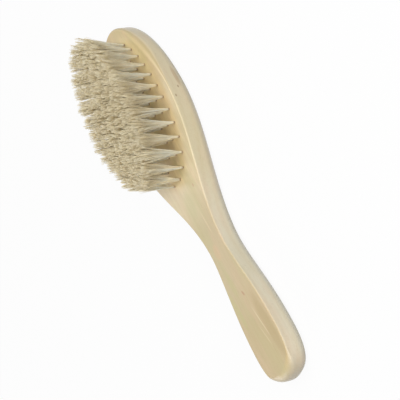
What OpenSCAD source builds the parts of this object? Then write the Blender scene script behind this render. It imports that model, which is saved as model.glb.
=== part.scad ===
// Vegetable brush: a one-piece wooden body with bristle tufts set in blind holes in its head.
// The head tip points along +X, the bristles along +Z, and the flat back lies on Z = 0.
// The origin is halfway along the body. Distances "from the head tip" run towards the grip.

/* [Wooden body] */
// Length from the head tip to the end of the grip
body_len = 220; // [208:1:240]
// Thickness of the board that the body is cut from
body_t = 12; // [11:0.5:16]
// Width of the head at its widest place
head_w = 60; // [54:1:68]
// Distance from the head tip to the widest place of the head
head_at = 59.5; // [52:0.5:68]
// Width of the neck at its narrowest place
neck_w = 16.4; // [14:0.2:24]
// Distance from the head tip to the narrowest place of the neck
neck_at = 145; // [132:1:156]
// Width of the grip at its widest place
grip_w = 28.3; // [22:0.1:36]
// Distance from the widest place of the grip to its end
grip_end = 22; // [16:1:28]

/* [Edges] */
// Edge radius around the bristle side, along the head and the grip
face_edge_r = 0.8; // [0.5:0.1:2]
// Edge radius around the bristle side at the head tip
tip_edge_r = 2.4; // [1:0.2:4]
// Distance from the head tip over which the tip's radius fades into the other
tip_edge_len = 75; // [40:5:100]
// Edge radius around the bristle side at the end of the grip
end_edge_r = 4; // [1:0.5:5]
// Distance from the end of the grip over which its radius fades into the other
end_edge_len = 9; // [6:1:20]
// Edge radius around the flat back
back_edge_r = 5.4; // [3:0.2:6]

/* [Tuft field] */
// Distance from the side of the head to the middles of the outer ring's tufts
side_margin = 8.3; // [6.5:0.1:9.5]
// Distance from the head tip to the middle of the outer ring's first tuft
tip_margin = 9.5; // [8:0.5:12]
// Length of the outer ring of tufts
field_len = 91; // [84:1:98]
// Squareness of the rings on the neck side, where 2 is an ellipse
ring_square = 2.4; // [2:0.1:2.8]
// Number of tufts in the outer ring
outer_count = 28; // [24:1:28]
// Number of tufts in the middle ring
middle_count = 22; // [18:1:22]
// Number of tufts in the inner ring
inner_count = 16; // [12:1:16]
// Number of tufts in the centre row
centre_count = 6; // [4:1:7]
// Distance from an end of the inner ring to the nearest tuft of the centre row
row_inset = 12; // [9:0.5:14]

/* [Tufts] */
// Diameter of the blind hole that a tuft sits in
hole_d = 2.6; // [2.3:0.1:3.2]
// Depth of the hole below the face
hole_depth = 8; // [6:0.5:9]
// Clearance between a tuft's root and the wall of its hole
root_clear = 0.05; // [0.02:0.01:0.1]
// Height of the trimmed bristle tips above the face
bristle_h = 23; // [16:0.5:30]
// Gap left between neighbouring tufts at their tips
tip_gap = 0.3; // [0.2:0.1:1]
// How far the tips lean out past the roots at the head tip
tip_lean = 2.2; // [0:0.2:4]
// How far the tips lean in from the roots at the neck
neck_lean = 4; // [0:0.5:4.5]
// Radius of a strand where it leaves the hole
strand_root_r = 0.36; // [0.3:0.02:0.4]
// Radius of a strand halfway up
strand_mid_r = 0.6; // [0.4:0.05:0.7]
// Radius of a strand at its tip
strand_tip_r = 0.8; // [0.5:0.05:0.9]

/* [Anchor wires] */
// Thickness of the flat wire that holds a tuft in its hole
anchor_t = 0.4; // [0.3:0.05:0.6]
// Height of the flat wire
anchor_h = 1.8; // [1.2:0.1:2.2]
// How far each end of the wire bites into the wood
anchor_bite = 0.5; // [0.3:0.1:0.8]
// Thickness of the folded bristles under the wire
fold_t = 1.6; // [1:0.1:2]

/* [Hidden] */
// Stations along each stretch of the outline, and steps around each rounded edge
tip_steps = 16;
head_steps = 14;
grip_steps = 10;
end_steps = 12;
face_steps = 4;
back_steps = 5;
// Exponents that skew the head's and the grip's flares, and that square the end of the grip
head_flare = 1.05;
grip_flare = 0.8;
end_square = 2.55;
// Spaces between rings from the outer one to the middle of the field
ring_steps = 3;
// Strands around the one in the middle of a tuft, and the sides of each
strands_around = 5;
strand_sides = 3;
// How deep a strand starts inside the root, so that the two are one piece
strand_sink = 0.8;
// Share of the hole's radius that the ring of strands stands at where it leaves the hole
strand_spread = 0.6;
// Share of a tuft's spread and lean that is reached halfway up, and the turn from tuft to tuft
half_spread = 0.6;
tuft_turn = 37;
// How far a cutter runs past the surface that it opens
cut_extra = 1;
$fn = 32;

grip_at = body_len - grip_end;
face_z = body_t;
root_r = hole_d / 2 - root_clear;
anchor_len = hole_d + 2 * anchor_bite;
field_a = field_len / 2;
field_b = head_w / 2 - side_margin;
field_at = tip_margin + field_a;
ring_gap = field_b / ring_steps;

OUTER = ring_tufts(0, outer_count);
MIDDLE = ring_tufts(1, middle_count);
INNER = ring_tufts(2, inner_count);
CENTRE = row_tufts(centre_count);
ALL_TUFTS = concat(OUTER, MIDDLE, INNER, CENTRE);

// Radius of the ring of strands at the tips, which keeps the two closest tufts apart
TIPS = [for (t = ALL_TUFTS) tuft_place(t) + tuft_lean(t)];
tip_ring_r = (closest(TIPS) - tip_gap) / 2 - strand_tip_r;

function tuft_name(ring, i) = str(ring, "_tuft_", i < 10 ? "0" : "", i);

// Half a superellipse's width at u, from 1 in the middle to 0 at u = 1
function bow(u, power) = pow(max(0, 1 - pow(u, power)), 1 / power);

// Half a cosine wave from 0 at u = 0 to 1 at u = 1
function wave(u) = (1 - cos(180 * u)) / 2;

// Half the body's width at a distance from the head tip
function half_width(x) =
    x < head_at ? head_w / 2 * bow(1 - x / head_at, 2)
    : x < neck_at ? head_w / 2 - (head_w - neck_w) / 2 * wave(pow((x - head_at) / (neck_at - head_at), head_flare))
    : x < grip_at ? neck_w / 2 + (grip_w - neck_w) / 2 * wave(pow((x - neck_at) / (grip_at - neck_at), grip_flare))
    : grip_w / 2 * bow((x - grip_at) / grip_end, end_square);

// Radius of the bristle side's edge at a distance from the head tip
function face_radius(x) =
    face_edge_r
    + (tip_edge_r - face_edge_r) * wave(max(0, 1 - x / tip_edge_len))
    + (end_edge_r - face_edge_r) * wave(max(0, 1 - (body_len - x) / end_edge_len));

// Distances from the head tip at which the outline has its points, closer together at both ends
STATIONS = concat(
    [for (i = [0:tip_steps - 1]) head_at * (1 - cos(90 * i / tip_steps))],
    [for (i = [0:head_steps - 1]) head_at + (neck_at - head_at) * i / head_steps],
    [for (i = [0:grip_steps - 1]) neck_at + (grip_at - neck_at) * i / grip_steps],
    [for (i = [0:end_steps]) grip_at + grip_end * sin(90 * i / end_steps)]
);
last = len(STATIONS) - 1;
loop_len = 2 * last;

// The outline's points from the head tip down the +Y side and back up the -Y side
function station(i) = STATIONS[i <= last ? i : loop_len - i];
OUTLINE = [for (i = [0:loop_len - 1])
    [body_len / 2 - station(i), half_width(station(i)) * (i <= last ? 1 : -1)]];

// Unit vector out of the outline at point i
function outward(i) =
    let (along = OUTLINE[(i + 1) % loop_len] - OUTLINE[(i + loop_len - 1) % loop_len])
    [along.y, -along.x] / norm(along);

// Point i of the outline moved in by inset, at height z
function outline_point(i, inset, z) =
    let (p = OUTLINE[i] - inset * outward(i)) [p.x, p.y, z];

BACK_LEVELS = [for (s = [0:back_steps]) let (a = 90 * s / back_steps)
    [for (i = [0:loop_len - 1]) outline_point(i, back_edge_r * (1 - sin(a)), back_edge_r * (1 - cos(a)))]];
FACE_LEVELS = [for (s = [0:face_steps]) let (a = 90 * s / face_steps)
    [for (i = [0:loop_len - 1]) let (r = face_radius(station(i)))
        outline_point(i, r * (1 - cos(a)), face_z - r * (1 - sin(a)))]];

// Triangles around a stack of levels with m points each, the first of them point number first
function skin(m, levels, first = 0) = [for (j = [0:levels - 2], i = [0:m - 1])
    let (a = first + j * m + i, b = first + j * m + (i + 1) % m)
    each [[a, a + m, b + m], [a, b + m, b]]];

// The flat back's triangles run from side to side, and the face's lie over them, turned the other way
BACK_FACES = concat(
    [for (i = [0:last - 2]) [i, i + 1, loop_len - i - 1]],
    [for (i = [1:last - 1]) [i, loop_len - i - 1, loop_len - i]]
);
function lifted(faces, by) = [for (f = faces) [f[2] + by, f[1] + by, f[0] + by]];

// A point of ring k at an angle, where 0 is the neck side, as [from the head tip, sideways]
function ring_point(k, angle) =
    let (a = field_a - k * ring_gap, b = field_b - k * ring_gap,
         power = cos(angle) > 0 ? 2 / ring_square : 1)
    [field_at + a * sign(cos(angle)) * pow(abs(cos(angle)), power),
     b * sign(sin(angle)) * pow(abs(sin(angle)), power)];

// How far along ring k each degree lies, as [distance, angle]
function ring_run(k) = [for (
    angle = 0, run = 0;
    angle <= 360;
    run = run + norm(ring_point(k, angle + 1) - ring_point(k, angle)), angle = angle + 1
) [run, angle]];

// Tufts spaced evenly round ring k
function ring_tufts(k, count) =
    let (run = ring_run(k), whole = run[360][0])
    [for (i = [0:count - 1]) ring_point(k, lookup(whole * i / count, run))];

// Tufts spaced evenly along the middle of the field
function row_tufts(count) =
    let (reach = field_a - 2 * ring_gap - row_inset)
    [for (i = [0:count - 1]) [field_at + reach - 2 * reach * i / (count - 1), 0]];

// Least distance between any two of the points
function closest(points) = min([for (i = [1:len(points) - 1], j = [0:i - 1]) norm(points[i] - points[j])]);

// Where a tuft stands on the face, and how far its tips lean from there: out past the head tip,
// and in towards the middle of the field at the neck
function tuft_place(t) = [body_len / 2 - t.x, t.y, face_z];
function tuft_lean(t) =
    let (out = [field_at - t.x, t.y, 0] / field_a)
    out.x > 0 ? [tip_lean * out.x * out.x, 0, 0] : neck_lean * out.x * out;

// One level of strand s: its centre swings out from the root to the tips as share goes from 0 to 1
function strand_level(t, s, turn, share, z, r) =
    let (angle = turn + 360 * s / strands_around,
         reach = s == strands_around ? 0
             : root_r * strand_spread * (1 - share) + tip_ring_r * share,
         centre = reach * [cos(angle), sin(angle), 0] + tuft_lean(t) * share + [0, 0, z])
    [for (i = [0:strand_sides - 1]) let (a = angle + 360 * i / strand_sides)
        centre + r * [cos(a), sin(a), 0]];

// The strands of one tuft, one after the other, about the middle of its hole's mouth
function strand_points(t, turn) = [for (s = [0:strands_around]) each concat(
    strand_level(t, s, turn, 0, -strand_sink, strand_root_r),
    strand_level(t, s, turn, half_spread, bristle_h / 2, strand_mid_r),
    strand_level(t, s, turn, 1, bristle_h, strand_tip_r)
)];
strand_levels = 3;
strand_size = strand_sides * strand_levels;
STRAND_FACES = [for (s = [0:strands_around]) each concat(
    skin(strand_sides, strand_levels, s * strand_size),
    [[0, 1, 2] + s * strand_size * [1, 1, 1]],
    lifted([[0, 1, 2]], s * strand_size + (strand_levels - 1) * strand_sides)
)];

// The space of one anchor wire, across the tuft and into the wood on both sides
module anchor_space() {
    translate([-anchor_t / 2, -anchor_len / 2, fold_t - hole_depth])
        cube([anchor_t, anchor_len, anchor_h]);
}

// The wooden body in one piece, with a blind hole for each tuft
module wood_body() {
    levels = concat(BACK_LEVELS, FACE_LEVELS);
    color("burlywood")
        difference() {
            polyhedron(
                points = [for (level = levels) each level],
                faces = concat(
                    skin(loop_len, len(levels)),
                    BACK_FACES,
                    lifted(BACK_FACES, (len(levels) - 1) * loop_len)
                )
            );
            for (t = ALL_TUFTS)
                translate(tuft_place(t)) {
                    translate([0, 0, -hole_depth])
                        cylinder(d = hole_d, h = hole_depth + cut_extra);
                    anchor_space();
                }
        }
}

// One tuft: the folded root that fills its hole round the anchor wire, and the strands that fan out of it
module tuft(t, number) {
    color("wheat")
        translate(tuft_place(t)) {
            difference() {
                translate([0, 0, -hole_depth])
                    cylinder(r = root_r, h = hole_depth);
                anchor_space();
            }
            polyhedron(points = strand_points(t, tuft_turn * number), faces = STRAND_FACES);
        }
}

// The flat wires, one across the fold of each tuft
module anchor_wires() {
    color("silver")
        for (t = ALL_TUFTS)
            translate(tuft_place(t))
                anchor_space();
}

wood_body();
anchor_wires();
for (i = [1:outer_count])
    tuft(OUTER[i - 1], i);
for (i = [1:middle_count])
    tuft(MIDDLE[i - 1], i);
for (i = [1:inner_count]) tuft(INNER[i - 1], i);  // inner_tufts
for (i = [1:centre_count])
    tuft(CENTRE[i - 1], i);
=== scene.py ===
"""The looks of a wooden vegetable brush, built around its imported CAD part.

Every length is in metres, in the part's own frame: the head tip points along +X, the bristles
along +Z, and the flat back lies on the floor at Z = 0.
"""

import math
import random

import bmesh
import bpy
from mathutils import Matrix, Vector

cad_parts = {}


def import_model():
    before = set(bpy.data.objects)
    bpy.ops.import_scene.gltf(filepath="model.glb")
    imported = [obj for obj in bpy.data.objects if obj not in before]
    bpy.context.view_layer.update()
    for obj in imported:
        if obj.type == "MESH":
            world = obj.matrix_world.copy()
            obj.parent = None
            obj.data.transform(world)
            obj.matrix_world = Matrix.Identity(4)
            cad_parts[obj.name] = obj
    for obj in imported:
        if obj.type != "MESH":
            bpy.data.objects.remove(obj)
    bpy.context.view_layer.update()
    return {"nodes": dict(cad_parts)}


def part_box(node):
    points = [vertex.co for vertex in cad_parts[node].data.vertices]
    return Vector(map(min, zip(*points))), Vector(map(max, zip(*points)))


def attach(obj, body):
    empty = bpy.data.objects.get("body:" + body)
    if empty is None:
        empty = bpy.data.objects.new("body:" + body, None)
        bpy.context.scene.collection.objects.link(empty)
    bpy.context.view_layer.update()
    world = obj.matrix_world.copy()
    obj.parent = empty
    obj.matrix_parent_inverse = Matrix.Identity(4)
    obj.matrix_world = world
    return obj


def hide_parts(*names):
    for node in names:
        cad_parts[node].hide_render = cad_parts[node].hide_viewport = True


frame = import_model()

MM = 0.001
SEED = 7321
UP = Vector((0, 0, 1))
DOWN = Vector((0, 0, -1))
QUARTER_TURN = math.pi / 2
FULL_TURN = 2 * math.pi
GOLDEN_ANGLE = math.pi * (3 - math.sqrt(5))


def rgb(red, green, blue):
    """A colour that is written as 0 to 255 on a screen, as the shaders take it."""
    def linear(value):
        value /= 255
        return value / 12.92 if value <= 0.04045 else ((value + 0.055) / 1.055) ** 2.4
    return linear(red), linear(green), linear(blue), 1


# Wooden body: the CAD part's outline in finer steps, with softer, worn edges round the head
BODY_LEN = 220 * MM
BODY_T = 12 * MM
HEAD_W = 60 * MM
HEAD_AT = 59.5 * MM
NECK_W = 16.4 * MM
NECK_AT = 145 * MM
GRIP_W = 28.3 * MM
GRIP_END = 22 * MM
GRIP_AT = BODY_LEN - GRIP_END
FACE_EDGE_R = 0.8 * MM
TIP_EDGE_R = 1.5 * MM
TIP_EDGE_LEN = 75 * MM
END_EDGE_R = 4 * MM
END_EDGE_LEN = 9 * MM
HEAD_SOFT_R = 2.6 * MM
HEAD_SOFT_LEN = 64 * MM
BACK_EDGE_R = 5.4 * MM
HEAD_FLARE = 1.05
GRIP_FLARE = 0.8
END_SQUARE = 2.55
TIP_STEPS = 44
HEAD_STEPS = 40
GRIP_STEPS = 30
END_STEPS = 34
EDGE_STEPS = 8
# Mouths of the holes, only as wide as the feet of the loose hairs need
HOLE_R = 0.62 * MM
HOLE_DEPTH = 8 * MM
HOLE_SIDES = 28

# Corners of a CAD tuft: how level those of one end are, and how near to each other those of one foot are
SAME_LEVEL = 0.01 * MM
SAME_FOOT = 4 * MM

# A tuft is made of locks, and a lock of hairs
LOCKS = 34
LOCK_HAIRS = 6
HAIR_SIDES = 3
HAIR_STEPS = 7
HAIR_ROOT_R = 0.07 * MM
HAIR_TIP_R = 0.075 * MM
HAIR_START = 2.5 * MM
# How a tuft fans out: its locks crowd towards its middle, and spread faster towards the cut ends
TUFT_ROOT_R = 0.42 * MM
TUFT_TIP_R = 4.3 * MM
CROWDING = 1.35
SPREAD_POWER = 1.35
LOCK_ROOT_R = 0.1 * MM
LOCK_TIP_R = 0.5 * MM
# Towards the neck the tufts are trimmed shorter and lean to the middle line
NECK_TRIM = 2.2 * MM
NECK_LEAN = 0.2
NECK_TRIM_LEN = 50 * MM
# How far tufts, locks and hairs end from an even, level trim
TIP_RAISE = 0.95 * MM
TUFT_WANDER = 0.8 * MM
EDGE_DROP = 1.2 * MM
EDGE_DROP_POWER = 6
LOCK_JITTER = 0.3
LOCK_WANDER = 0.6 * MM
LOCK_DROP = 0.45 * MM
HAIR_DROP = 1.4 * MM
DEEPEST_DROP = 5 * MM
# How far and how often locks and hairs wave to the sides on their way up, and how hairs curl at the end
LOCK_BEND = 0.18 * MM
LOCK_WAVES = 1.3
HAIR_BEND = 0.1 * MM
HAIR_WAVES = 2.5
LEAST_WAVES = 0.5
BEND_SPREAD = (0.4, 1.6)
BEND_START = 1.8
HAIR_CURL = 0.22 * MM
CURL_POWER = 5
# How far the tone of tufts, locks and hairs strays from the middle one, on a scale from 0 to 1
TUFT_TONE = 0.12
LOCK_TONE = 0.16
HAIR_TONE = 0.2
# A level direction that no hair runs along, from which the rings of points round a hair are turned
LEVEL = Vector((0.36, 0.93, 0))
# Each hair has a square cell of this map to itself, with a margin that is a share of the cell
MAP_NAME = "OFBake"
CELL_MARGIN = 0.1

# Colours of the wood's face: neck, head, tip, grip, and painted bounce light on the ground that the
# bristles stand on; the head's colour is partly painted light that lifts the bristles' shade
NECK_WOOD = rgb(212, 194, 152)
HEAD_WOOD_AND_PAINTED_LIGHT = rgb(251, 233, 195)
TIP_WOOD = rgb(227, 200, 146)
GRIP_WOOD = rgb(205, 184, 137)
BOUNCE_LIGHT_WOOD = rgb(255, 230, 174)
# Colours of its sides, which hold a painted sheen, of the painted shade on the rounded edge near the head
# tip, and of its end grain
# The sides' colours are the wood's own tone with a painted sheen that makes them paler and cooler than the
# face
NECK_SIDE = rgb(227, 214, 181)
HEAD_SIDE = rgb(220, 203, 162)
EDGE_SHADE_WOOD = rgb(190, 168, 118)
END_WOOD = rgb(190, 172, 136)
# Stretches along X over which its colour changes
HEAD_CHANGE = (-25 * MM, 10 * MM)
TIP_CHANGE = (40 * MM, 85 * MM)
GRIP_CHANGE = (-45 * MM, -85 * MM)
EDGE_SHADE_CHANGE = (20 * MM, 55 * MM)
EDGE_SHADE_STRENGTH = 3.6
# Its growth rings, drawn out along the board, with their middle far below it
RING_WOOD = rgb(208, 182, 134)
RING_STRETCH = (0.045, 1, 1)
RING_SHIFT = (0, -12 * MM, 75 * MM)
RING_SCALE = 62
# Its finer figure: colours, and about how many waves in a metre along, across and through the board
OLIVE_WOOD = rgb(202, 194, 138)
OLIVE_WAVES = (26, 110, 110)
OLIVE_SHIFT = (5, 2, 9)
ROSY_WOOD = rgb(228, 196, 160)
ROSY_WAVES = (34, 140, 140)
ROSY_SHIFT = (3, 7, 5)
FIBRE_WOOD = rgb(196, 168, 118)
FIBRE_WAVES = (40, 1400, 1400)
PORE_WOOD = rgb(158, 122, 78)
PORE_WAVES = (210, 2900, 2900)
# Spots on it: middle as x, y and z, half length and half width in mm, and turn in degrees
BOUNCE_LIGHT_SPOT = (56, 0, 12, 54, 28, 0)
# How much of a spot is at full strength, before it fades: of the painted bounce light under the bristles,
# and of a mark
BOUNCE_LIGHT_CORE = 0.8
MARK_CORE = 0.45
# Marks and patches seen on it: strength, colour and spot
WOOD_MARKS = [
    (0.55, rgb(190, 166, 114), (-86, -9.2, 12, 24, 4.4, 4)),
    (0.5, rgb(240, 224, 182), (-81, -4.7, 12, 12, 0.5, 9)),
    (0.35, rgb(240, 224, 182), (-88, -2.8, 12, 8, 0.4, 12)),
    (0.6, rgb(188, 134, 100), (-63.2, -2.4, 12, 2.2, 0.8, 20)),
    (0.5, rgb(200, 142, 100), (-0.6, -7.8, 12, 1.4, 0.6, 0)),
    (0.4, rgb(210, 160, 120), (-7.1, -23.9, 12, 0.6, 3.2, 10)),
    (0.5, rgb(176, 142, 100), (52.3, -30, 5.3, 9, 1.4, 0)),
    (0.6, rgb(150, 112, 76), (45.1, -29.8, 6.8, 1.1, 0.6, 0)),
    (0.6, rgb(150, 112, 76), (39.8, -29.3, 10.1, 1.1, 0.6, 0)),
    (0.28, rgb(236, 190, 150), (-36, 1.5, 12, 6, 3.4, 0)),
    (0.3, rgb(236, 196, 156), (-33, -9, 12, 4, 1.4, -12)),
    (0.35, rgb(198, 196, 128), (-66, 9, 12, 16, 3, 4)),
    (0.3, rgb(200, 192, 130), (-54.6, 2.8, 12, 9, 3, 0)),
    (0.3, rgb(196, 194, 138), (-5, 3, 12, 10, 6, 0)),
    (0.5, rgb(252, 236, 204), (46.7, -27.9, 12, 6, 0.5, 5)),
    (0.4, rgb(244, 226, 188), (-20, -2.5, 12, 9, 0.6, 3)),
]

# Colours of the hairs: the darkest and the palest tone, low down and higher up; the low ones are partly
# painted light, paler to lift the shade among the hairs
LOW_DARK = rgb(250, 228, 182)
LOW_PALE = rgb(255, 255, 234)
HIGH_DARK = rgb(204, 184, 138)
HIGH_PALE = rgb(247, 234, 198)
STREAK_HAIR = rgb(196, 170, 124)
STREAK_WAVES = (900, 900, 260)
# Painted shade at the hairs' feet, in and just above the holes' mouths
FOOT_SHADE_HAIR = rgb(156, 108, 58)
CUT_HAIR = rgb(250, 242, 218)
# Stretches of a hair over which its colour changes, from 0 at its foot to 1 at its cut end
HIGH_CHANGE = (0.5, 0.95)
FOOT_SHADE_CHANGE = (0.15, 0.2)
CUT_CHANGE = (0.95, 1.0)

# Colours of the anchor wires, and waves in a metre of their drawing lines and tarnish
BARE_STEEL = rgb(196, 196, 192)
DULL_STEEL = rgb(150, 140, 124)
LINE_WAVES = (6000, 500, 9000)
DULL_WAVES = (900, 900, 900)

# The photograph's camera: where it looks, from where, and how far it is rolled
AIM = Vector((-4.67, 0.12, 7.26)) * MM
CAMERA_DISTANCE = 662.7 * MM
CAMERA_AZIMUTH = -34.81
CAMERA_ELEVATION = 28.43
CAMERA_ROLL = -99.53
SENSOR = 36
LENS = 1335 / 400 * SENSOR

# Lamps: name, azimuth and elevation in degrees, distance, width and height in metres, and power
LAMPS = [
    ("key", -28, 20, 1.2, 1.3, 0.8, 9.5),
    ("top", 5, 63, 1.2, 2.0, 0.35, 6.7),
    ("back", -165, 22, 1.4, 1.2, 0.7, 5.0),
]
WHITE = (1, 1, 1, 1)
WORLD_LIGHT = 0.3
# The floor: half its side, its colour as seen and as it lights the object, and how much of it glows
FLOOR_REACH = 4.0
FLOOR_WHITE = rgb(250, 250, 250)
FLOOR_BOUNCE = rgb(130, 148, 185)
FLOOR_GLOW = 0.93


# Where the tufts stand


def distinct(points):
    """The points, with those at the same place taken once."""
    return [Vector(p) for p in sorted({tuple(round(c, 6) for c in p) for p in points})]


def middle_of_box(points):
    """The middle of the smallest box round the points."""
    low = Vector(min(p[i] for p in points) for i in range(3))
    high = Vector(max(p[i] for p in points) for i in range(3))
    return (low + high) / 2


def grouped(points):
    """The points in groups, each of those that are near to its first one."""
    groups = []
    for p in points:
        near = next((g for g in groups if (g[0] - p).length < SAME_FOOT), None)
        if near:
            near.append(p)
        else:
            groups.append([p])
    return groups


def tufts_of(node):
    """(foot, tip) of each tuft in a CAD node: the middle of its hole's mouth and of its trimmed end."""
    low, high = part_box(node)
    points = distinct(v.co for v in frame["nodes"][node].data.vertices)
    lowest = [p for p in points if p.z < low.z + SAME_LEVEL]
    highest = [p for p in points if p.z > high.z - SAME_LEVEL]
    feet = [middle_of_box(group) for group in grouped(lowest)]
    ends = [[] for foot in feet]
    for p in highest:
        away = [(p.xy - foot.xy).length for foot in feet]
        ends[away.index(min(away))].append(p)
    tips = [sum(end, Vector()) / len(end) for end in ends]
    return [(Vector((foot.x, foot.y, BODY_T)), tip) for foot, tip in zip(feet, tips)]


# Wooden body


def bow(u, power):
    """Half a superellipse's width at u, from 1 in the middle to 0 at u = 1."""
    return max(0, 1 - u**power) ** (1 / power)


def wave(u):
    """Half a cosine wave from 0 at u = 0 to 1 at u = 1."""
    return (1 - math.cos(math.pi * u)) / 2


def half_width(x):
    """Half the body's width at a distance from the head tip."""
    if x < HEAD_AT:
        return HEAD_W / 2 * bow(1 - x / HEAD_AT, 2)
    if x < NECK_AT:
        u = (x - HEAD_AT) / (NECK_AT - HEAD_AT)
        return HEAD_W / 2 - (HEAD_W - NECK_W) / 2 * wave(u**HEAD_FLARE)
    if x < GRIP_AT:
        u = (x - NECK_AT) / (GRIP_AT - NECK_AT)
        return NECK_W / 2 + (GRIP_W - NECK_W) / 2 * wave(u**GRIP_FLARE)
    return GRIP_W / 2 * bow(min(1, (x - GRIP_AT) / GRIP_END), END_SQUARE)


def face_radius(x):
    """Radius of the face's edge at a distance from the head tip, with its worn stretch along the head."""
    near_tip = wave(max(0, 1 - x / TIP_EDGE_LEN))
    near_end = wave(max(0, 1 - (BODY_LEN - x) / END_EDGE_LEN))
    head_edge = wave(2 * min(1, x / HEAD_SOFT_LEN))
    tip_more = (TIP_EDGE_R - FACE_EDGE_R) * near_tip
    end_more = (END_EDGE_R - FACE_EDGE_R) * near_end
    return FACE_EDGE_R + tip_more + end_more + HEAD_SOFT_R * head_edge


def stations():
    """Distances from the head tip at which the outline has its points."""
    tip = [HEAD_AT * (1 - math.cos(QUARTER_TURN * i / TIP_STEPS)) for i in range(TIP_STEPS)]
    head = [HEAD_AT + (NECK_AT - HEAD_AT) * i / HEAD_STEPS for i in range(HEAD_STEPS)]
    grip = [NECK_AT + (GRIP_AT - NECK_AT) * i / GRIP_STEPS for i in range(GRIP_STEPS)]
    end = [GRIP_AT + GRIP_END * math.sin(QUARTER_TURN * i / END_STEPS) for i in range(END_STEPS + 1)]
    return tip + head + grip + end


def outline():
    """The outline as (distance from the head tip, point, unit vector out of it), all the way round."""
    along = stations()
    there = [(x, Vector((BODY_LEN / 2 - x, half_width(x), 0))) for x in along]
    back = [(x, Vector((BODY_LEN / 2 - x, -half_width(x), 0))) for x in along[-2:0:-1]]
    loop = there + back
    rows = []
    for i, (x, p) in enumerate(loop):
        ahead = loop[(i + 1) % len(loop)][1] - loop[i - 1][1]
        rows.append((x, p, Vector((ahead.y, -ahead.x, 0)).normalized()))
    return rows


def back_edge(row, sin, cos):
    """(point, normal) on the edge between back and side, beside a row of the outline."""
    x, p, out = row
    point = p - out * BACK_EDGE_R * (1 - sin) + UP * BACK_EDGE_R * (1 - cos)
    return point, out * sin - UP * cos


def face_edge(row, sin, cos):
    """(point, normal) on the edge between side and face, beside a row of the outline."""
    x, p, out = row
    radius = face_radius(x)
    point = p - out * radius * (1 - cos) + UP * (BODY_T - radius * (1 - sin))
    return point, out * cos + UP * sin


def edge_levels():
    """Rings of (point, normal) from the flat back, round its edge, up the side and round to the face."""
    rows = outline()
    levels = []
    for edge in (back_edge, face_edge):
        for step in range(EDGE_STEPS + 1):
            turn = QUARTER_TURN * step / EDGE_STEPS
            levels.append([edge(row, math.sin(turn), math.cos(turn)) for row in rows])
    return levels


def band_faces(levels):
    """The faces between one ring and the next, as (corners, a normal for each corner)."""
    count = len(levels[0])
    normals = [normal for level in levels for point, normal in level]
    faces = []
    for level in range(len(levels) - 1):
        for i in range(count):
            a = level * count + i
            b = level * count + (i + 1) % count
            face = (a, b, b + count, a + count)
            faces.append((face, [normals[corner] for corner in face]))
    return faces


def back_faces(count):
    """The faces across the flat back, from one side of its ring of points to the other."""
    faces = []
    for i in range(count // 2):
        corners = [(count - i) % count, count - i - 1, i + 1, i]
        face = list(dict.fromkeys(corners))
        faces.append((face, [DOWN] * len(face)))
    return faces


def hole(foot, first):
    """A tuft's blind hole as (points, faces), with its points numbered from first on."""
    turns = [FULL_TURN * i / HOLE_SIDES for i in range(HOLE_SIDES)]
    ring = [Vector((math.cos(a), math.sin(a), 0)) for a in turns]
    points = [foot + HOLE_R * r - UP * depth for depth in (0, HOLE_DEPTH) for r in ring]
    faces = []
    for i in range(HOLE_SIDES):
        k = (i + 1) % HOLE_SIDES
        face = (first + i, first + k, first + k + HOLE_SIDES, first + i + HOLE_SIDES)
        faces.append((face, [-ring[i], -ring[k], -ring[k], -ring[i]]))
    bottom = [first + HOLE_SIDES + i for i in range(HOLE_SIDES)]
    faces.append((bottom, [UP] * HOLE_SIDES))
    return points, faces


def top_faces(points, loops):
    """Triangles between the first loop of point numbers, which runs round the outside, and the rest."""
    bm = bmesh.new()
    verts = {i: bm.verts.new(points[i]) for loop in loops for i in loop}
    number = {v: i for i, v in verts.items()}
    pairs = [pair for loop in loops for pair in zip(loop, loop[1:] + loop[:1])]
    edges = [bm.edges.new((verts[a], verts[b])) for a, b in pairs]
    bmesh.ops.triangle_fill(bm, use_beauty=True, edges=edges, normal=UP)
    faces = []
    for f in bm.faces:
        corners = [number[v] for v in f.verts]
        face = corners if f.normal.z > 0 else corners[::-1]
        faces.append((face, [UP] * len(face)))
    bm.free()
    return faces


def board(feet):
    """The board with its blind holes, as (points, faces), each face with a normal for each corner."""
    levels = edge_levels()
    count = len(levels[0])
    points = [point for level in levels for point, normal in level]
    faces = band_faces(levels) + back_faces(count)
    loops = [list(range(len(points) - count, len(points)))]
    for foot in feet:
        first = len(points)
        hole_points, hole_faces = hole(foot, first)
        points += hole_points
        faces += hole_faces
        loops.append(list(range(first, first + HOLE_SIDES)))
    return points, faces + top_faces(points, loops)


def wooden_body(feet, material):
    """The board, as a piece that stands for the CAD's."""
    points, faces = board(feet)
    mesh = bpy.data.meshes.new("body")
    mesh.from_pydata(points, [], [corners for corners, normals in faces])
    mesh.validate()
    mesh.polygons.foreach_set("use_smooth", [True] * len(mesh.polygons))
    mesh.normals_split_custom_set([normal for corners, normals in faces for normal in normals])
    mesh.materials.append(material)
    add_piece("body", mesh, "wood_body")


# Bristles


def sideways(angle, reach):
    """A level vector of length reach."""
    return Vector((math.cos(angle) * reach, math.sin(angle) * reach, 0))


def any_way(dice, reach):
    """A level vector of length reach, in a direction that the dice choose."""
    return sideways(dice.uniform(0, FULL_TURN), reach)


def bend(dice, size, most_waves):
    """A wave to the sides along a hair, as (how far and which way, number of waves, phase)."""
    reach = size * dice.uniform(*BEND_SPREAD)
    way = any_way(dice, reach)
    waves = dice.uniform(LEAST_WAVES, most_waves)
    phase = dice.uniform(0, FULL_TURN)
    return way, waves, phase


def bent(a_bend, u):
    """How far such a wave is out at u, from 0 at the foot, where it stands still, to 1 at the cut end."""
    way, waves, phase = a_bend
    out = math.sin(phase + waves * FULL_TURN * u) - math.sin(phase) * (1 - u)
    return way * min(1, BEND_START * u) * out


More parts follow.
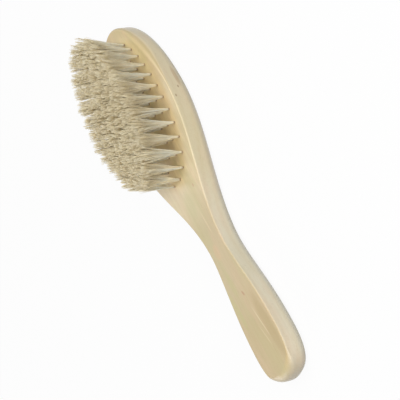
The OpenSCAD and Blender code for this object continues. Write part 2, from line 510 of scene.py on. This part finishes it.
def shortfall(dice, usual):
    """How far a cut end is below an even trim: mostly a little, now and then more."""
    return min(DEEPEST_DROP, dice.expovariate(1 / usual))


def trimmed(tip):
    """The middle of a tuft's cut ends, lower and nearer to the middle line towards the neck."""
    near_neck = max(0, 1 - tip.x / NECK_TRIM_LEN)
    return Vector((tip.x, tip.y * (1 - NECK_LEAN * near_neck), tip.z - NECK_TRIM * near_neck))


def lock_paths(foot, tip, number, dice):
    """The hairs of one lock of a tuft, each as the points that it runs through up to its cut end."""
    share = math.sqrt((number + 0.5) / LOCKS)
    angle = number * GOLDEN_ANGLE + dice.uniform(-LOCK_JITTER, LOCK_JITTER)
    mouth = foot + sideways(angle, TUFT_ROOT_R * share)
    end = tip + sideways(angle, TUFT_TIP_R * share**CROWDING) + any_way(dice, dice.gauss(0, LOCK_WANDER))
    end.z += TIP_RAISE - EDGE_DROP * share**EDGE_DROP_POWER - shortfall(dice, LOCK_DROP)
    lock_bend = bend(dice, LOCK_BEND, LOCK_WAVES)
    paths = []
    for _ in range(LOCK_HAIRS):
        way = any_way(dice, math.sqrt(dice.random()))
        start = mouth + way * LOCK_ROOT_R
        last = end + way * LOCK_TIP_R
        last.z -= shortfall(dice, HAIR_DROP)
        hair_bend = bend(dice, HAIR_BEND, HAIR_WAVES)
        curl = any_way(dice, dice.gauss(0, HAIR_CURL))
        path = [start - UP * HAIR_START]
        for step in range(HAIR_STEPS):
            u = step / (HAIR_STEPS - 1)
            p = start.lerp(last, u**SPREAD_POWER)
            p.z = start.z + (last.z - start.z) * u
            path.append(p + bent(lock_bend, u) + bent(hair_bend, u) + curl * u**CURL_POWER)
        paths.append(path)
    return paths


def add_hair(path, cell, tone, parts):
    """A closed tube along the path, with its own cell of the map, added to the parts of a mesh."""
    points, faces, uvs, tones, alongs = parts
    first = len(points)
    last = len(path) - 1
    for step, p in enumerate(path):
        ahead = (path[min(step + 1, last)] - path[max(step - 1, 0)]).normalized()
        across = ahead.cross(LEVEL).normalized()
        other = ahead.cross(across)
        radius = HAIR_ROOT_R + (HAIR_TIP_R - HAIR_ROOT_R) * step / last
        for k in range(HAIR_SIDES):
            turn = FULL_TURN * k / HAIR_SIDES
            points.append(p + radius * (math.cos(turn) * across + math.sin(turn) * other))
            tones.append(tone)
            alongs.append(step / last)
    left, low, side = cell
    for step in range(last):
        for k in range(HAIR_SIDES):
            a = first + step * HAIR_SIDES + k
            b = first + step * HAIR_SIDES + (k + 1) % HAIR_SIDES
            faces.append((a, b, b + HAIR_SIDES, a + HAIR_SIDES))
            u0 = left + side * k / HAIR_SIDES
            u1 = left + side * (k + 1) / HAIR_SIDES
            v0 = low + side * step / last
            v1 = low + side * (step + 1) / last
            uvs.extend([(u0, v0), (u1, v0), (u1, v1), (u0, v1)])
    for step, v in ((0, low), (last, low + side)):
        cap = [first + step * HAIR_SIDES + k for k in range(HAIR_SIDES)]
        faces.append(cap[::-1] if step == 0 else cap)
        uvs.extend([(left + side * k / HAIR_SIDES, v) for k in range(HAIR_SIDES)])


def hairs(tufts, dice):
    """Every hair of the tufts, as (points, faces, map places, tones, shares of the way up)."""
    parts = [], [], [], [], []
    columns = math.ceil(math.sqrt(LOCKS * LOCK_HAIRS * len(tufts)))
    cell = 1 / columns
    inside = (1 - 2 * CELL_MARGIN) * cell
    number = 0
    for foot, tip in tufts:
        tip = trimmed(tip + any_way(dice, dice.random() * TUFT_WANDER))
        tuft_tone = 0.5 + dice.uniform(-TUFT_TONE, TUFT_TONE)
        for i in range(LOCKS):
            lock_tone = tuft_tone + dice.gauss(0, LOCK_TONE)
            for path in lock_paths(foot, tip, i, dice):
                left = (number % columns + CELL_MARGIN) * cell
                low = (number // columns + CELL_MARGIN) * cell
                tone = min(1, max(0, lock_tone + dice.gauss(0, HAIR_TONE)))
                add_hair(path, (left, low, inside), tone, parts)
                number += 1
    return parts


def tuft_piece(node, tufts, material):
    """The hairs of a CAD node's tufts, as a piece that stands for it."""
    name = node + "_hairs"
    points, faces, uvs, tones, alongs = hairs(tufts, random.Random(f"{SEED} {name}"))
    mesh = bpy.data.meshes.new(name)
    mesh.from_pydata(points, [], faces)
    mesh.polygons.foreach_set("use_smooth", [len(face) == 4 for face in faces])
    mesh.uv_layers.new(name=MAP_NAME).data.foreach_set("uv", [c for uv in uvs for c in uv])
    mesh.attributes.new("tone", "FLOAT", "POINT").data.foreach_set("value", tones)
    mesh.attributes.new("along", "FLOAT", "POINT").data.foreach_set("value", alongs)
    mesh.materials.append(material)
    add_piece(name, mesh, node)


def add_piece(name, mesh, node):
    """The mesh as a piece of the object that stands for a CAD node."""
    piece = bpy.data.objects.new(name, mesh)
    bpy.context.scene.collection.objects.link(piece)
    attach(piece, "root")
    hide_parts(node)


# Materials


class Shader:
    """The nodes of a material or of the world, with short ways to add and join them."""

    def __init__(self, owner):
        owner.use_nodes = True
        self.owner = owner
        self.nodes = owner.node_tree.nodes
        self.links = owner.node_tree.links

    def put(self, socket, value):
        """Joins another node's output to the socket, or sets the socket to a number or colour."""
        if isinstance(value, bpy.types.NodeSocket):
            self.links.new(value, socket)
        else:
            socket.default_value = value

    def add(self, kind, inputs=(), **settings):
        """A new node of that kind, with its inputs put and its settings made."""
        node = self.nodes.new(kind)
        for name, value in settings.items():
            setattr(node, name, value)
        for name, value in dict(inputs).items():
            self.put(node.inputs[name], value)
        return node

    def surface(self, inputs):
        """Fills sockets of the material's own surface shader."""
        shader = self.nodes["Principled BSDF"]
        for name, value in inputs.items():
            self.put(shader.inputs[name], value)

    def place(self):
        return self.add("ShaderNodeTexCoord").outputs["Object"]

    def facing(self):
        return self.add("ShaderNodeTexCoord").outputs["Normal"]

    def split(self, vector):
        return self.add("ShaderNodeSeparateXYZ", {"Vector": vector}).outputs

    def stretched(self, vector, scale, shift=(0, 0, 0)):
        node = self.add("ShaderNodeMapping", {"Vector": vector, "Scale": scale, "Location": shift})
        return node.outputs["Vector"]

    def noise(self, vector, waves, detail, roughness, shift=(0, 0, 0)):
        """Noise from 0 to 1, with about so many waves in a metre along each axis."""
        node = self.add("ShaderNodeTexNoise", {
            "Vector": self.stretched(vector, waves, shift), "Scale": 1, "Detail": detail,
            "Roughness": roughness})
        return node.outputs["Fac"]

    def ranged(self, value, low, high, to_low=0.0, to_high=1.0, smooth=False):
        """The value from low to high brought to the range from to_low to to_high, and held at its ends."""
        node = self.add("ShaderNodeMapRange", {
            "Value": value, "From Min": low, "From Max": high, "To Min": to_low, "To Max": to_high})
        if smooth:
            node.interpolation_type = "SMOOTHSTEP"
        return node.outputs["Result"]

    def math(self, operation, a, b=0.0):
        return self.add("ShaderNodeMath", {0: a, 1: b}, operation=operation).outputs["Value"]

    def mixed(self, share, a, b):
        """A colour that goes from a at share 0 to b at share 1."""
        node = self.add("ShaderNodeMix", data_type="RGBA")
        self.put(node.inputs[0], share)
        self.put(node.inputs[6], a)
        self.put(node.inputs[7], b)
        return node.outputs[2]

    def bump(self, height, strength, distance):
        node = self.add("ShaderNodeBump", {"Height": height, "Strength": strength, "Distance": distance})
        return node.outputs["Normal"]

    def attribute(self, name):
        return self.add("ShaderNodeAttribute", attribute_name=name).outputs["Fac"]


def spotted(s, place, spot, core):
    """1 over the core of a spot on the wood, which is that share of it, fading to 0 at its rim."""
    x, y, z, length, width, turn = spot
    shifted = s.add("ShaderNodeMapping", {
        "Vector": place, "Location": (x * MM, y * MM, z * MM), "Rotation": (0, 0, math.radians(turn)),
        "Scale": (length * MM, width * MM, width * MM)}, vector_type="TEXTURE").outputs["Vector"]
    reach = s.add("ShaderNodeVectorMath", {0: shifted}, operation="LENGTH").outputs["Value"]
    return s.ranged(reach, core, 1.0, 1.0, 0.0, smooth=True)


def bare_wood(s, place, side):
    """The wood's broad colours: along its face, with painted light round the bristles, on its sides, with
    a painted sheen, in painted shade on the rounded edge near the head tip, and on its end grain.
    """
    along = s.split(place)["X"]
    head = s.ranged(along, *HEAD_CHANGE, smooth=True)
    grip = s.ranged(along, *GRIP_CHANGE, smooth=True)
    tip = s.ranged(along, *TIP_CHANGE, smooth=True)
    rounding = s.math("MULTIPLY", side, s.math("SUBTRACT", 1.0, side))
    # Painted shade: darkens the rounded edge near the head tip, taking down the light it catches there
    head_edge = s.math("MULTIPLY", rounding, s.ranged(along, *EDGE_SHADE_CHANGE, 0.0, EDGE_SHADE_STRENGTH, smooth=True))
    end_facing = s.math("ABSOLUTE", s.split(s.facing())["X"])
    end_grain = s.ranged(end_facing, 0.3, 1.0, 0.0, 0.5, smooth=True)
    # The head's colour is partly painted light, lifting the shade of the bristles beside it
    colour = s.mixed(head, NECK_WOOD, HEAD_WOOD_AND_PAINTED_LIGHT)
    colour = s.mixed(tip, colour, TIP_WOOD)
    colour = s.mixed(grip, colour, GRIP_WOOD)
    # Painted bounce light: the wood under the bristles is lighter and more orange
    colour = s.mixed(spotted(s, place, BOUNCE_LIGHT_SPOT, BOUNCE_LIGHT_CORE), colour, BOUNCE_LIGHT_WOOD)
    # The sides' paler, cooler colour is partly painted sheen
    colour = s.mixed(side, colour, s.mixed(head, NECK_SIDE, HEAD_SIDE))
    colour = s.mixed(head_edge, colour, EDGE_SHADE_WOOD)
    return s.mixed(end_grain, colour, END_WOOD)


def figured(s, place, side, colour):
    """The colour with the wood's growth rings and its soft olive and rosy patches on it."""
    rings = s.add("ShaderNodeTexWave", {
        "Vector": s.stretched(place, RING_STRETCH, RING_SHIFT), "Scale": RING_SCALE, "Distortion": 5,
        "Detail": 2.5, "Detail Scale": 0.55, "Detail Roughness": 0.5},
        wave_type="RINGS", rings_direction="X").outputs["Fac"]
    olive = s.noise(place, OLIVE_WAVES, 3, 0.55, OLIVE_SHIFT)
    rosy = s.noise(place, ROSY_WAVES, 3, 0.55, ROSY_SHIFT)
    olive_share = s.math("MULTIPLY", s.ranged(olive, 0.42, 0.72), s.ranged(side, 0.0, 1.0, 0.5, 0.15))
    colour = s.mixed(s.ranged(rings, 0.35, 1.0, 0.0, 0.16), colour, RING_WOOD)
    colour = s.mixed(olive_share, colour, OLIVE_WOOD)
    return s.mixed(s.ranged(rosy, 0.45, 0.75, 0.0, 0.4), colour, ROSY_WOOD)


def wood():
    """Pale, waxed wood: soft figure and fine fibres, sides made paler and cooler by a painted sheen,
    darker end grain and a few marks, with painted bounce light under the bristles and painted shade on the
    rounded edge near the head tip.
    """
    s = Shader(bpy.data.materials.new("pale_wood"))
    place = s.place()
    up_facing = s.math("ABSOLUTE", s.split(s.facing())["Z"])
    side = s.ranged(up_facing, 0.3, 0.95, 1.0, 0.0, smooth=True)
    fibres = s.noise(place, FIBRE_WAVES, 4, 0.6)
    pores = s.noise(place, PORE_WAVES, 2, 0.5)
    colour = figured(s, place, side, bare_wood(s, place, side))
    colour = s.mixed(s.ranged(fibres, 0.42, 0.72, 0.0, 0.14), colour, FIBRE_WOOD)
    colour = s.mixed(s.ranged(pores, 0.62, 0.72, 0.0, 0.18), colour, PORE_WOOD)
    for strength, shade, spot in WOOD_MARKS:
        share = s.math("MULTIPLY", spotted(s, place, spot, MARK_CORE), strength)
        colour = s.mixed(share, colour, shade)
    height = s.math("SUBTRACT", fibres, s.ranged(pores, 0.6, 0.75, 0.0, 0.6))
    s.surface({
        "Base Color": colour,
        "Roughness": s.ranged(fibres, 0.3, 0.7, 0.42, 0.56),
        "Coat Weight": 0.5,
        "Coat Roughness": 0.13,
        "Normal": s.bump(height, 0.2, 0.08 * MM),
    })
    return s.owner


def bristle():
    """Dry plant fibre: each hair has its own tone, pale low down, partly as painted light that lifts the
    shade among the hairs, with painted shade at its foot, and straw coloured higher up.
    """
    s = Shader(bpy.data.materials.new("plant_fibre"))
    tone = s.attribute("tone")
    along = s.attribute("along")
    streaks = s.noise(s.place(), STREAK_WAVES, 3, 0.6)
    # Painted light: the hairs' lower parts are paler, to lift the shade among them
    low = s.mixed(tone, LOW_DARK, LOW_PALE)
    high = s.mixed(tone, HIGH_DARK, HIGH_PALE)
    colour = s.mixed(s.ranged(along, *HIGH_CHANGE, smooth=True), low, high)
    colour = s.mixed(s.ranged(streaks, 0.45, 0.75, 0.0, 0.3), colour, STREAK_HAIR)
    # Painted shade at the hairs' feet, where they go into the holes
    colour = s.mixed(s.ranged(along, *FOOT_SHADE_CHANGE, 0.75, 0.0, smooth=True), colour, FOOT_SHADE_HAIR)
    colour = s.mixed(s.ranged(along, *CUT_CHANGE, 0.0, 0.4), colour, CUT_HAIR)
    s.surface({
        "Base Color": colour,
        "Roughness": s.ranged(streaks, 0.3, 0.7, 0.34, 0.5),
        "Specular IOR Level": 0.7,
        "Subsurface Weight": 0.5,
        "Subsurface Radius": (1.0, 1.0, 1.0),
        "Subsurface Scale": 0.12 * MM,
        "Sheen Weight": 0.1,
        "Normal": s.bump(streaks, 0.2, 0.05 * MM),
    })
    return s.owner


def steel():
    """Drawn flat wire, with fine lengthwise lines and a little tarnish."""
    s = Shader(bpy.data.materials.new("wire_steel"))
    place = s.place()
    lines = s.noise(place, LINE_WAVES, 3, 0.6)
    tarnish = s.noise(place, DULL_WAVES, 2, 0.5)
    s.surface({
        "Base Color": s.mixed(s.ranged(tarnish, 0.45, 0.7, 0.0, 0.6), BARE_STEEL, DULL_STEEL),
        "Metallic": 1.0,
        "Roughness": s.ranged(lines, 0.3, 0.7, 0.28, 0.45),
        "Normal": s.bump(lines, 0.2, 0.03 * MM),
    })
    return s.owner


# Studio


def seen_directly(s):
    """1 for rays from the camera, also by way of gloss or glass, and 0 for light that falls on things."""
    path = s.add("ShaderNodeLightPath").outputs
    by_way = s.math("MAXIMUM", path["Is Glossy Ray"], path["Is Transmission Ray"])
    return s.math("MAXIMUM", path["Is Camera Ray"], by_way)


def floor_white():
    """White that keeps a soft shadow: most of it glows, and the lamps light the rest."""
    s = Shader(bpy.data.materials.new("white_floor"))
    seen = seen_directly(s)
    s.surface({
        "Base Color": s.mixed(seen, FLOOR_BOUNCE, FLOOR_WHITE),
        "Roughness": 1.0,
        "Specular IOR Level": 0.0,
    })
    lit = s.nodes["Principled BSDF"].outputs["BSDF"]
    glow = s.add("ShaderNodeEmission", {"Color": WHITE, "Strength": 1.0}).outputs["Emission"]
    share = s.math("MULTIPLY", seen, FLOOR_GLOW)
    both = s.add("ShaderNodeMixShader", {0: share, 1: lit, 2: glow}).outputs["Shader"]
    s.put(s.nodes["Material Output"].inputs["Surface"], both)
    return s.owner


def floor():
    """A plain white floor."""
    low, high = -FLOOR_REACH, FLOOR_REACH
    corners = [(low, low, 0), (high, low, 0), (high, high, 0), (low, high, 0)]
    mesh = bpy.data.meshes.new("floor")
    mesh.from_pydata(corners, [], [(0, 1, 2, 3)])
    mesh.materials.append(floor_white())
    piece = bpy.data.objects.new("floor", mesh)
    bpy.context.scene.collection.objects.link(piece)


def world():
    """An even white surround: its light falls on things at one level and is seen as plain white."""
    surround = bpy.data.worlds.new("studio")
    bpy.context.scene.world = surround
    s = Shader(surround)
    background = s.nodes["Background"]
    s.put(background.inputs["Color"], WHITE)
    s.put(background.inputs["Strength"], s.ranged(seen_directly(s), 0.0, 1.0, WORLD_LIGHT, 1.0))


def direction(azimuth, elevation):
    """Unit vector towards a place round the object, where azimuth 0 is in front of it, on the -Y side."""
    a = math.radians(azimuth)
    e = math.radians(elevation)
    return Vector((math.sin(a) * math.cos(e), -math.cos(a) * math.cos(e), math.sin(e)))


def lamp(name, azimuth, elevation, distance, width, height, power):
    """A soft light that looks at the object."""
    light = bpy.data.lights.new(name, "AREA")
    light.shape = "RECTANGLE"
    light.size = width
    light.size_y = height
    light.energy = power
    holder = bpy.data.objects.new(name, light)
    towards = direction(azimuth, elevation)
    holder.location = AIM + towards * distance
    holder.rotation_mode = "QUATERNION"
    holder.rotation_quaternion = towards.to_track_quat("Z", "Y")
    bpy.context.scene.collection.objects.link(holder)


def camera():
    """The photograph's view."""
    data = bpy.data.cameras.new("camera")
    data.sensor_width = SENSOR
    data.lens = LENS
    holder = bpy.data.objects.new("camera", data)
    back = direction(CAMERA_AZIMUTH, CAMERA_ELEVATION)
    level = back.to_track_quat("Z", "Y").to_matrix()
    turned = level @ Matrix.Rotation(math.radians(CAMERA_ROLL), 3, "Z")
    holder.matrix_world = Matrix.Translation(AIM + back * CAMERA_DISTANCE) @ turned.to_4x4()
    bpy.context.scene.collection.objects.link(holder)
    bpy.context.scene.camera = holder


def studio():
    """Camera, floor, surround and lamps."""
    bpy.context.scene.view_settings.view_transform = "Standard"
    camera()
    floor()
    world()
    for settings in LAMPS:
        lamp(*settings)


def build():
    """Hairs in place of every CAD tuft, the wooden body, and steel on the CAD's own anchor wires."""
    fibre = bristle()
    tufts = {node: tufts_of(node) for node in sorted(frame["nodes"]) if "tuft" in node}
    for node, places in tufts.items():
        tuft_piece(node, places, fibre)
    feet = [foot for places in tufts.values() for foot, tip in places]
    wooden_body(feet, wood())
    wires = frame["nodes"]["anchor_wires"]
    wires.data.materials.clear()
    wires.data.materials.append(steel())


studio()
build()
